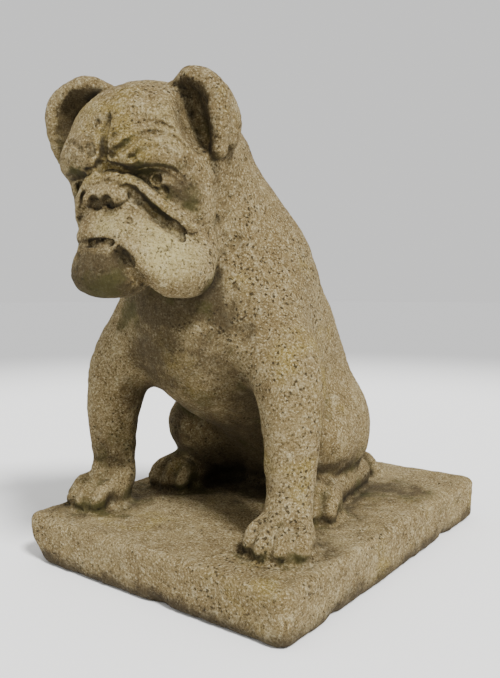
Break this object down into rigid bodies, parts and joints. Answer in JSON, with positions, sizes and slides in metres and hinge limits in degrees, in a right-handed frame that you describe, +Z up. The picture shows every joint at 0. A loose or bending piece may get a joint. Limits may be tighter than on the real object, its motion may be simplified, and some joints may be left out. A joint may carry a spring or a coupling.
{
  "type": "bulldog garden statue",
  "caption": "weathered carved stone bulldog sitting upright on a low rectangular plinth of the same block, a garden ornament",
  "frame": {"origin": "middle of the plinth's underside, on the ground", "axes": "+Z up, the dog looks along -Y, its left side is at +X"},
  "size_m": [0.409, 0.5807, 0.5988],
  "materials": {
    "weathered_stone": "rough, pitted and lichened"
  },
  "bodies": {
    "root": {"bulldog_statue": "weathered_stone"}
  },
  "joints": []
}
